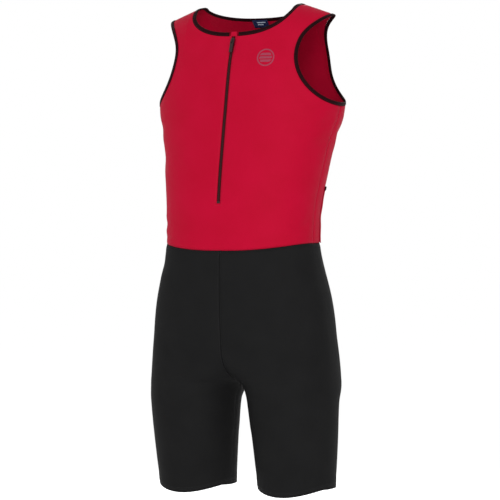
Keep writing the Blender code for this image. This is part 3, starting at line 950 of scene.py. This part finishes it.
arm_path = armhole_path()
arm_sides = {"left": (arm_path, 1), "right": (mirror_path(arm_path), -1)}
bands = {}
for side, (path, into) in arm_sides.items():
    bands[side] = swept_band(
        f"armhole_band_{side}", f"armhole_binding_{side}", path, True, into,
        ARM_BINDING, ARM_THICK, BAND_LIFT,
    )
collar_path = neck_path()
collar = swept_band(
    "neck_band", "neck_binding", collar_path, False, -1,
    NECK_BINDING, NECK_THICK, BAND_LIFT, round_ends=True,
)

# %% [markdown]
# ## Stitching
# A machine stitch shows as a row of short threads. One thread is a thin lens with six
# sides; many copies along a path make one mesh. Each copy is laid straight onto the
# finished surface by a ray along the seam's own outward direction.

# %% Rows of stitches
STITCH_LENGTH = 2.0 * MM
STITCH_PITCH = 2.9 * MM
THREAD = 0.24 * MM
THREAD_SHOWS = 0.4            # how far a thread's middle stands off, in radii
RING_SIDES = 6
STITCH_RINGS = ((-0.5, 0.15), (-0.3, 1.0), (0.3, 1.0), (0.5, 0.15))      # along, radius
STITCH_REACH = 5 * MM
ZIP_INSET = 3.2 * MM
SEAM_INSET = 2.2 * MM


def stitch_row(
    name, path, surface, closed=False, shift=0.0, thread=BLACK_THREAD, slot="black_knit"
):
    """Stitches along a path of (point, normal), moved sideways and laid on a surface."""
    place, outward, _ = even(path, closed, STITCH_PITCH)
    ahead = directions(place, closed)
    across = np.cross(ahead, outward)
    across /= np.linalg.norm(across, axis=1)[:, None]
    place = place + across * shift
    centre, found = [], []
    for i, normal in enumerate(outward):
        start = Vector(place[i] + normal * STITCH_REACH)
        hit = surface.ray_cast(start, Vector(-normal), 2 * STITCH_REACH)[0]
        if hit:
            centre.append(np.array(hit) + normal * (THREAD * THREAD_SHOWS))
            found.append(i)
    centre = np.array(centre)
    ahead, across, outward = ahead[found], across[found], outward[found]
    rings = []
    for along, radius in STITCH_RINGS:
        for k in range(RING_SIDES):
            angle = 2 * math.pi * k / RING_SIDES
            rings.append(
                centre
                + ahead * (along * STITCH_LENGTH)
                + across * (math.cos(angle) * THREAD * radius)
                + outward * (math.sin(angle) * THREAD * radius)
            )
    per = len(rings)
    points = np.stack(rings, 1).reshape(-1, 3)
    faces = []
    for i in range(len(centre)):
        base = i * per
        for ring in range(len(STITCH_RINGS) - 1):
            for k in range(RING_SIDES):
                here = base + ring * RING_SIDES + k
                beside = base + ring * RING_SIDES + (k + 1) % RING_SIDES
                faces.append((here, beside, beside + RING_SIDES, here + RING_SIDES))
        faces.append([base + k for k in range(RING_SIDES - 1, -1, -1)])
        faces.append([base + per - RING_SIDES + k for k in range(RING_SIDES)])
    mesh = bpy.data.meshes.new(name)
    mesh.from_pydata(points.tolist(), [], faces)
    uv = mesh.uv_layers.new(name="UVMap")
    corner = np.array([loop.vertex_index for loop in mesh.loops])
    uv.data.foreach_set("uv", points[corner][:, [0, 2]].ravel())
    mesh.shade_smooth()
    face_outward(mesh)
    belongs(new_object(name, mesh), thread)


red_thread = {"thread": RED_THREAD, "slot": "red_knit"}
dark_thread = {"thread": DARK_THREAD, "slot": "binding"}
surfaces = {name: surface_of(piece) for name, piece in panels.items()}
for side, column, sign in (("left", middle + 1, 1), ("right", middle, -1)):
    path = down_column(front_pairs, column, 1, line_row)
    shift = -sign * ZIP_INSET
    stitch_row(f"zip_stitches_{side}", path, surfaces["front"], shift=shift, **red_thread)
foot = []
for column, sign in ((middle, -1), (middle + 1, 1)):
    corner = front_rows[line_row + 1][column] + Vector((sign * ZIP_INSET, 0, 0))
    foot.append((corner, front_pairs[line_row][column][1]))
stitch_row("zip_foot_stitches", foot, surfaces["front"], **red_thread)
strap = (HALF_COLUMNS - NECK_COLUMNS) * FINE + 1
for name, pairs in (("front", front_pairs), ("back", back_pairs)):
    rows = {
        "side_stitches_0": (down_column(pairs, 0, arm_row, torso_last), -SEAM_INSET),
        "side_stitches_1": (down_column(pairs, -1, arm_row, torso_last), SEAM_INSET),
        "waist_stitches": (pairs[torso_last], -SEAM_INSET),
        "shoulder_stitches_0": (pairs[0][:strap], SEAM_INSET),
        "shoulder_stitches_1": (pairs[0][-strap:], SEAM_INSET),
    }
    for row_name, (path, shift) in rows.items():
        stitch_row(f"{name}_{row_name}", path, surfaces[name], shift=shift, **red_thread)
print("torso stitches lie on", len(surfaces), "panels")

# %% [markdown]
# The bindings carry one row near their inner edge. The shorts have a flat seam down the
# middle, one down the inside of each leg, and two close rows at the hem.

# %% Stitches on bindings and shorts
ARM_INSET, NECK_INSET = 1.6 * MM, 1.8 * MM
HEM_HEIGHTS = {"upper": 8.8 * MM, "lower": 6.2 * MM}
for side, (path, into) in arm_sides.items():
    surface = surface_of(bands[side])
    shift = into * ARM_INSET
    stitch_row(f"armhole_stitches_{side}", path, surface, True, shift=shift, **dark_thread)
stitch_row("neck_stitches", collar_path, surface_of(collar), shift=-NECK_INSET, **dark_thread)
leg_pairs = paired(leg_rows)
leg_last = len(leg_rows) - 1
crotch_row = HIP_ROWS * FINE
hem = list(zip(leg_rows[leg_last], leg_rows[leg_last - 3], leg_pairs[leg_last - 2]))
leg_paths = {}
for row_name, height in HEM_HEIGHTS.items():
    leg_paths[f"hem_{row_name}"] = [
        (edge + (above - edge).normalized() * height, pair[1]) for edge, above, pair in hem[:-1]
    ]
for side, sign in (("left", 1), ("right", -1)):
    surface = surface_of(shorts[side])
    lines = {name: (path, True, 0.0) for name, path in leg_paths.items()}
    lines["waist"] = (leg_pairs[0], False, sign * SEAM_INSET)
    for name, column, inward in (("front", 0, -1), ("rear", -1, 1)):
        shift = sign * inward * SEAM_INSET
        upper = down_column(leg_pairs, column, 0, crotch_row)
        lower = down_column(leg_pairs, column, crotch_row, leg_last - 1)
        lines[f"{name}_middle"] = (upper, False, shift)
        lines[f"{name}_inside_leg"] = (lower, False, shift)
    for name, (path, closed, shift) in lines.items():
        path = mirror_path(path) if side == "right" else path
        stitch_row(f"{name}_stitches_{side}", path, surface, closed, shift)
print("shorts stitch rows, each side", len(lines))

# %% [markdown]
# ## Zip
# The tape is a woven strip behind the slit. Along its middle run the coils, two rows of
# small nylon loops that lock into each other. One loop is modelled and then repeated
# down the line of the zip, alternately left and right.

# %% Zip tape and coil
TAPE_HALF = 12 * MM
TAPE_WALL = 0.7 * MM
TAPE_DEPTH = WALL + 0.5 * MM
TOOTH_PITCH = 1.5 * MM
TOOTH_RADIUS = 0.62 * MM
TOOTH_LENGTH = 3.4 * MM
TOOTH_SOFT = 0.3 * MM
TOOTH_SHIFT = 0.9 * MM        # to the left and to the right in turn
TOOTH_FLAT = 0.9              # height of a loop over its width
TOOTH_SINK = 0.35 * MM
HIDDEN_LOOPS = 2              # left out at each end, under the garage and the stop

zip_path = []
for row in front_pairs[:line_row + 1]:
    point, normal = row[middle][0].copy(), row[middle][1].copy()
    point.x = normal.x = 0
    zip_path.append((point, normal.normalized()))
tape_rows = []
for point, normal in zip_path:
    depth = point - normal * TAPE_DEPTH
    tape_rows.append([depth + Vector((x, 0, 0)) for x in np.linspace(-TAPE_HALF, TAPE_HALF, 7)])
tape, _, size = cloth("zip_tape_woven", tape_rows, wall=TAPE_WALL)
belongs(tape, TAPE, ["zip_tape"])


def softened(piece, width, segments):
    """Rounds every sharp edge of a small part."""
    soft = piece.modifiers.new("soft_edges", "BEVEL")
    soft.width = width
    soft.segments = segments
    bpy.ops.object.modifier_apply(modifier=soft.name)


def one_tooth():
    """A short nylon loop end, lying across the zip."""
    bpy.ops.object.select_all(action="DESELECT")
    bpy.ops.mesh.primitive_cylinder_add(
        vertices=8, radius=TOOTH_RADIUS, depth=TOOTH_LENGTH, rotation=(0, math.pi / 2, 0)
    )
    tooth = bpy.context.object
    bpy.ops.object.transform_apply(location=False, rotation=True, scale=False)
    softened(tooth, TOOTH_SOFT, 2)
    return tooth


def coil_mesh(name, tooth, path):
    """Copies of the tooth down the path, alternately left and right."""
    place, outward, _ = even(path, False, TOOTH_PITCH)
    ahead = directions(place, False)
    shape = np.array([tuple(vertex.co) for vertex in tooth.data.vertices])
    faces = [tuple(polygon.vertices) for polygon in tooth.data.polygons]
    points, all_faces = [], []
    for i in range(HIDDEN_LOOPS, len(place) - HIDDEN_LOOPS):
        x_shift = TOOTH_SHIFT if i % 2 else -TOOTH_SHIFT
        base = len(points) * len(shape)
        moved = (
            place[i]
            + np.outer(shape[:, 0] + x_shift, (1, 0, 0))
            + np.outer(shape[:, 2], ahead[i])
            + np.outer(shape[:, 1] * TOOTH_FLAT - TOOTH_SINK, outward[i])
        )
        points.append(moved)
        all_faces += [tuple(base + index for index in face) for face in faces]
    mesh = bpy.data.meshes.new(name)
    mesh.from_pydata(np.concatenate(points).tolist(), [], all_faces)
    mesh.shade_smooth()
    face_outward(mesh)
    return new_object(name, mesh), len(points)


tooth = one_tooth()
coil, count = coil_mesh("zip_coil_teeth", tooth, zip_path)
bpy.data.objects.remove(tooth, do_unlink=True)
belongs(coil, NYLON, ["zip_coil"])
print("coil loops", count, "tape", rounded(size))

# %% [markdown]
# ## Stop, garage and slider
# Small hard parts start as primitives with softened edges. Each is built at the world's
# origin in the zip's own directions and then moved into place with its mesh. The garage
# is a small folded tab of the panel's cloth that covers the top of the coil.

# %% Stop and garage
STOP_SIZE = (6.4 * MM, 1.9 * MM, 4 * MM)
STOP_SOFT = 0.5 * MM
GARAGE_HEIGHT = 9 * MM
GARAGE_WALL = 1.8 * MM
GARAGE_STEPS = 12
GARAGE_TAPER = 0.12
GARAGE_CROWN = 0.5 * MM
GARAGE_LIFT = 0.2 * MM


def local_to_zip(piece, place, lean):
    """Turns and moves the finished mesh into place, and leaves the object at the origin."""
    piece.location = place
    piece.rotation_euler = (lean, 0, 0)
    only(piece)
    bpy.ops.object.transform_apply(location=True, rotation=True, scale=True)


def rounded_block(name, size, bevel, segments=3, y=0.0, z=0.0):
    """A block with soft edges; y and z say where its middle is."""
    bpy.ops.object.select_all(action="DESELECT")
    bpy.ops.mesh.primitive_cube_add(size=1, location=(0, y, z))
    block = bpy.context.object
    block.name = name
    block.scale = size
    bpy.ops.object.transform_apply(location=True, rotation=False, scale=True)
    softened(block, bevel, segments)
    bpy.ops.object.shade_smooth()
    return block


def lean_at(index):
    """The angle by which the zip leans from upright at one of its points."""
    down = (zip_path[index + 1][0] - zip_path[index - 1][0]).normalized()
    return -math.atan2(-down.y, -down.z)


stop_low, stop_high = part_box("zip_stop")
stop = rounded_block("zip_bottom_stop", STOP_SIZE, STOP_SOFT)
local_to_zip(stop, (stop_low + stop_high) / 2, lean_at(line_row - 1))
belongs(stop, NYLON, ["zip_stop"])

zip_top, zip_out = zip_path[0]
up = (zip_top - zip_path[4][0]).normalized()
garage_rows = []
for step in range(GARAGE_STEPS + 1):
    share = step / GARAGE_STEPS
    crown = math.sin(share * math.pi) * GARAGE_CROWN
    centre = zip_top + up * (GARAGE_HEIGHT * (1 - share)) + zip_out * (GARAGE_LIFT + crown)
    half = GARAGE_HALF * (1 - GARAGE_TAPER * (1 - share))
    garage_rows.append([
        centre + Vector((half * across, 0, 0)) - zip_out * (GARAGE_CROWN * across**4)
        for across in np.linspace(-1, 1, 9)
    ])
garage, area, size = cloth("zip_garage_tab", garage_rows, wall=GARAGE_WALL, outward=zip_out)
belongs(garage, RED, ["zip_garage"])
print("garage", rounded(size, 4), "m wide and high")

# %% [markdown]
# The slider is a flat shell with a bridge over it. The shell narrows towards its lower
# end, whose points are selected and scaled in edit mode. The tab hangs from the bridge by
# its eye, so it can swing up, and a few ribs near its end give grip.

# %% Slider and pull tab
SHELL_SIZE = (8.2 * MM, 2.0 * MM, 11.8 * MM)
SHELL_SOFT, SHELL_TAPER, TAPER_FROM = 0.8 * MM, 0.72, 0.55
SHELL_DEPTH = 2.15 * MM       # from the hinge to the middle of the shell
BRIDGE_RADIUS, BRIDGE_WIRE = 2.75 * MM, 0.55 * MM
BRIDGE_SCALE = (1.6, 0.66, 1.0)
BRIDGE_DEPTH = 0.25 * MM
TAB_SIZE = (6.6 * MM, 1.1 * MM, 23.4 * MM)
TAB_SOFT = 0.5 * MM
TAB_TOP = 0.6 * MM            # above the hinge
EYE_SIZE = (3.5 * MM, 4 * MM, 4.5 * MM)
EYE_SOFT = 0.9 * MM
RIB_SIZE = (4.6 * MM, 0.5 * MM, 0.7 * MM)
RIB_SOFT = 0.2 * MM
RIBS, RIB_START, RIB_PITCH = 5, 12.5 * MM, 1.9 * MM
RIB_OUT = 0.6 * MM


def taper(piece, factor):
    """Narrows the lower end of a block, with the end's points selected in edit mode."""
    only(piece)
    bpy.ops.object.mode_set(mode="EDIT")
    bpy.ops.mesh.select_all(action="DESELECT")
    shape = bmesh.from_edit_mesh(piece.data)
    lowest = min(vert.co.z for vert in shape.verts)
    for vert in shape.verts:
        vert.select = vert.co.z < TAPER_FROM * lowest
    shape.select_flush(True)
    bmesh.update_edit_mesh(piece.data)
    bpy.ops.transform.resize(value=(factor, 1, 1), center_override=(0, 0, 0))
    bpy.ops.object.mode_set(mode="OBJECT")


joints = frame["record"]["behaviour"]["joints"]
joint = next(item for item in joints if item["name"] == "pull_tab_hinge")
hinge = Vector(joint["pos_m"])
slider_lean = lean_at(min(range(1, line_row), key=lambda i: (zip_path[i][0] - hinge).length))
shell = rounded_block("slider_shell", SHELL_SIZE, SHELL_SOFT, y=SHELL_DEPTH)
taper(shell, SHELL_TAPER)
bpy.ops.object.select_all(action="DESELECT")
bpy.ops.mesh.primitive_torus_add(
    major_radius=BRIDGE_RADIUS, minor_radius=BRIDGE_WIRE, major_segments=32, minor_segments=12,
    rotation=(0, math.pi / 2, 0),
)
bridge = bpy.context.object
bpy.ops.object.transform_apply(location=False, rotation=True, scale=False)
bridge.scale = BRIDGE_SCALE
bridge.location.y = BRIDGE_DEPTH
bpy.ops.object.transform_apply(location=True, rotation=False, scale=True)
bpy.ops.object.shade_smooth()
only(shell)
bridge.select_set(True)
bpy.ops.object.join()
shell.name = "zip_slider_shell"
local_to_zip(shell, hinge, slider_lean)
belongs(shell, PAINT, ["zip_slider"])

tab = rounded_block("pull_tab_plate", TAB_SIZE, TAB_SOFT, z=TAB_TOP - TAB_SIZE[2] / 2)
eye = rounded_block("eye_cutter", EYE_SIZE, EYE_SOFT, z=-TAB_TOP - EYE_SIZE[2] / 2)
cut = tab.modifiers.new("eye", "BOOLEAN")
cut.object = eye
cut.operation = "DIFFERENCE"
only(tab)
bpy.ops.object.modifier_apply(modifier=cut.name)
bpy.data.objects.remove(eye, do_unlink=True)
for step in range(RIBS):
    height = -(RIB_START + RIB_PITCH * step)
    rib = rounded_block("grip_rib", RIB_SIZE, RIB_SOFT, 2, y=-RIB_OUT, z=height)
    only(tab)
    rib.select_set(True)
    bpy.ops.object.join()
only(tab)
bpy.ops.object.shade_smooth_by_angle(angle=math.radians(40))
local_to_zip(tab, hinge, slider_lean)
belongs(tab, PAINT, ["zip_pull_tab"], body=TAB_BODY)
print("slider leans", round(math.degrees(slider_lean), 1), "degrees")

# %% [markdown]
# ## Back pocket
# A wide pocket lies on the lower back. Its cloth follows the back panel a little way
# off it, and its mouth is bound with a stout elastic that stands proud of the side.

# %% Back pocket
POCKET_COLUMNS = 10
POCKET_STAND = 1.6 * MM
POCKET_WALL = 1.1 * MM
MOUTH_BINDING, MOUTH_THICK, MOUTH_LIFT = 8 * MM, 2.6 * MM, 0.1 * MM
pocket_rows = panel_rows(BACK, fine_steps(LINE_ROW, LAST_ROW), POCKET_COLUMNS)
pocket_grid = as_grid(pocket_rows)
pocket_moves = creases_on(pocket_grid) + POCKET_STAND
pocket, area, size = cloth(
    "back_pocket_cloth", pocket_rows, wall=POCKET_WALL, moves=pocket_moves, centre=TORSO_CENTRE
)
belongs(pocket, RED, ["back_pocket"])
pocket_pairs = paired(pocket_rows)
mouth = [(point + normal * POCKET_STAND, normal) for point, normal in pocket_pairs[0]]
mouth_band = swept_band(
    "pocket_mouth_band", "pocket_binding", mouth, False, -1, MOUTH_BINDING, MOUTH_THICK, MOUTH_LIFT
)
mouth_surface = surface_of(mouth_band)
stitch_row("pocket_mouth_stitches", mouth, mouth_surface, shift=-NECK_INSET, **dark_thread)
pocket_surface = surface_of(pocket)
pocket_last = len(pocket_rows[0]) - 1
dividers = (1, pocket_last // 3, 2 * pocket_last // 3, pocket_last - 1)
for index, column in enumerate(dividers):
    path = down_column(pocket_pairs, column, 0, len(pocket_pairs) - 1)
    stitch_row(f"pocket_stitches_{index}", path, pocket_surface, **red_thread)
print("pocket stitch rows", len(dividers) + 1)

# %% [markdown]
# ## Print and label
# The round print on the chest is a thin film: a ring with slanted bars, a plain motif.
# Its flat shape is cast onto the front panel, straight along its own normal.

# %% Print on the chest
CAST_REACH = 0.06             # metres; where each ray starts
BADGE_FILM = 0.12 * MM
BADGE_LIFT = 0.2 * MM
BAR_HALF = 2.5 * MM
BAR_PITCH = 6.6 * MM
BAR_SLANT = 0.35
BAR_EDGES = (-1, -0.33, 0.33, 1)
RING_INNER, BAR_REACH = 0.84, 0.72           # shares of the print's radius


def cast_grid(surface, origin, across, upward, rows, lift):
    """Flat (a, b) points laid on a surface, straight along the flat shape's own normal."""
    outward = across.cross(upward)
    laid = []
    for row in rows:
        line = []
        for a, b in row:
            start = origin + across * a + upward * b + outward * CAST_REACH
            hit = surface.ray_cast(start, -outward)[0]
            line.append(hit + outward * lift)
        laid.append(line)
    return laid


def ring_rows(inner, outer, sides=72):
    angles = [2 * math.pi * k / sides for k in range(sides + 1)]
    return [
        [(radius * math.cos(angle), radius * math.sin(angle)) for angle in angles]
        for radius in np.linspace(inner, outer, 4)
    ]


def bar_rows(height, radius):
    """A slanted bar whose ends stop at a circle."""
    rows = []
    for edge in BAR_EDGES:
        b = height + edge * BAR_HALF
        reach = math.sqrt(radius**2 - b**2)
        slant = BAR_SLANT * edge * BAR_HALF
        rows.append([(a + slant, b) for a in np.linspace(-reach, reach, 16)])
    return rows


badge_low, badge_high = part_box("chest_badge")
badge_middle = (badge_low + badge_high) / 2
badge_radius = (badge_high.z - badge_low.z) / 2
badge_centre, badge_out = surfaces["front"].ray_cast(
    Vector((badge_middle.x, -1, badge_middle.z)), Vector((0, 1, 0))
)[:2]
badge_across = Vector((0, 0, 1)).cross(badge_out).normalized()
badge_up = badge_out.cross(badge_across)
shapes = {"badge_ring": ring_rows(badge_radius * RING_INNER, badge_radius)}
for index in (-1, 0, 1):
    shapes[f"badge_bar_{index + 1}"] = bar_rows(index * BAR_PITCH, badge_radius * BAR_REACH)
for name, rows in shapes.items():
    laid = cast_grid(surfaces["front"], badge_centre, badge_across, badge_up, rows, BADGE_LIFT)
    piece = cloth(name, laid, wall=BADGE_FILM, outward=badge_out)[0]
    belongs(piece, PRINT, ["chest_badge"])
print("print radius", round(badge_radius, 4), "m, pieces", len(shapes))

# %% [markdown]
# The label hangs from the neck binding, inside the back. A line of points is found on
# the cloth at the label's middle height, and its rows go straight up and down from there
# along the slope of the back. Two pale stripes give it a plain woven pattern.

# %% Label in the neck
LABEL_SIZE = (32 * MM, 19 * MM)
LABEL_DROP = -5 * MM
LABEL_X = -6 * MM
LABEL_WALL = 0.35 * MM
LABEL_STAND, STRIPE_STAND = -3.1 * MM, -3.3 * MM
SLOPE_Z = -0.036              # metres; the height at which the back's slope is taken
label_edge = body_point(*panel_place(BACK, 0, 0))
slope_row = min(range(len(back_rows)), key=lambda i: abs(back_rows[i][middle].z - SLOPE_Z))
label_down = (back_rows[slope_row][middle] - label_edge).normalized()
label_out = label_down.cross(Vector((-1, 0, 0))).normalized()


def hung(name, width, x, top, bottom, finish, stand, nodes=()):
    """A small strip that hangs inside the back neck, between two depths."""
    half_way = label_down * (LABEL_SIZE[1] / 2)
    line = []
    for a in np.linspace(x - width / 2, x + width / 2, 13):
        start = label_edge + half_way + Vector((a, 0, 0)) + label_out * CAST_REACH
        line.append(surfaces["back"].ray_cast(start, -label_out)[0] + label_out * stand)
    rows = [
        [point + label_down * (along - LABEL_SIZE[1] / 2) for point in line]
        for along in np.linspace(LABEL_DROP + top, LABEL_DROP + bottom, 7)
    ]
    piece = cloth(name, rows, wall=LABEL_WALL, outward=-label_out)[0]
    belongs(piece, finish, nodes)
    return piece


STRIPES = (                   # name, width, x, top, bottom
    ("label_stripe_upper", 18 * MM, LABEL_X + 2 * MM, 4.5 * MM, 7 * MM),
    ("label_stripe_lower", 12 * MM, LABEL_X - 1 * MM, 9.5 * MM, 12 * MM),
)
label = hung(
    "neck_label_cloth", LABEL_SIZE[0], LABEL_X, 0, LABEL_SIZE[1], NAVY, LABEL_STAND, ["neck_label"]
)
stripes = [hung(*row, PALE, STRIPE_STAND) for row in STRIPES]
print("label", rounded(LABEL_SIZE), "stripes", len(stripes))
